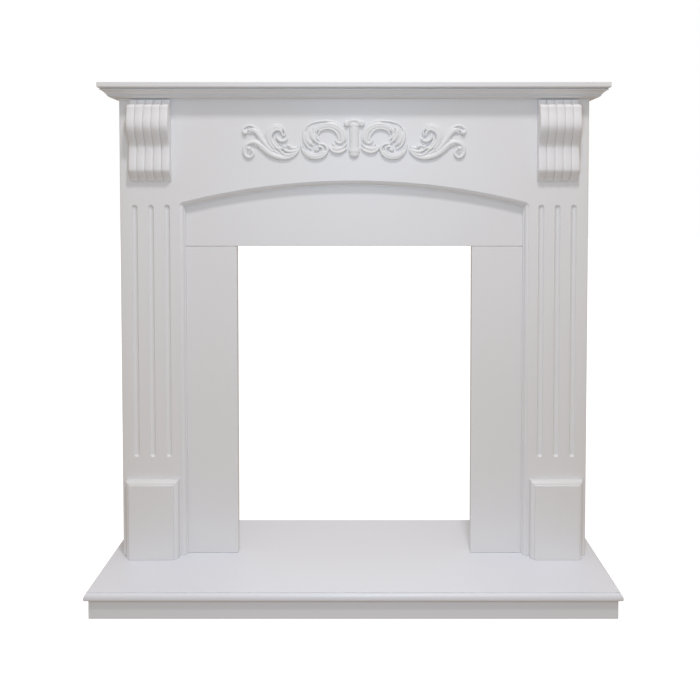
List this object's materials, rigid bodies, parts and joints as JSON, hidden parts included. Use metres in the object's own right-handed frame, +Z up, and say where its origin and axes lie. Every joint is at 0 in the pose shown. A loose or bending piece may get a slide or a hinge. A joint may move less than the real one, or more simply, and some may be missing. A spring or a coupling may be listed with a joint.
{
  "type": "fireplace mantelpiece",
  "caption": "White fireplace surround with a moulded shelf, reeded corbels, fluted legs, carved scroll ornament, shallow arch and flat inserts round a fire opening, on a low box hearth.",
  "frame": {"origin": "middle of the underside of the hearth, halfway between its front and its back", "axes": "+Z up, +X to the right along the shelf as seen from the front, +Y from the front towards the wall"},
  "size_m": [1.1, 0.38, 1.0984],
  "materials": {
    "white_paint": "white satin paint on board, with a very faint grain",
    "white_hearth_paint": "white satin paint on the hearth boards",
    "white_ornament_paint": "white satin paint on a carved ornament"
  },
  "bodies": {
    "root": {"mantel_shelf": "white_paint", "shelf_moulding_front": "white_paint", "shelf_moulding_left": "white_paint", "shelf_moulding_right": "white_paint", "face_board": "white_paint", "corbel_left": "white_paint", "corbel_right": "white_paint", "frieze_ornament": "white_ornament_paint", "plinth_block_left": "white_paint", "plinth_block_right": "white_paint", "insert_header": "white_paint", "insert_left": "white_paint", "insert_right": "white_paint", "side_panel_left": "white_paint", "side_panel_right": "white_paint", "hearth_slab": "white_hearth_paint", "hearth_riser_front": "white_hearth_paint", "hearth_riser_left": "white_hearth_paint", "hearth_riser_right": "white_hearth_paint"}
  },
  "joints": []
}
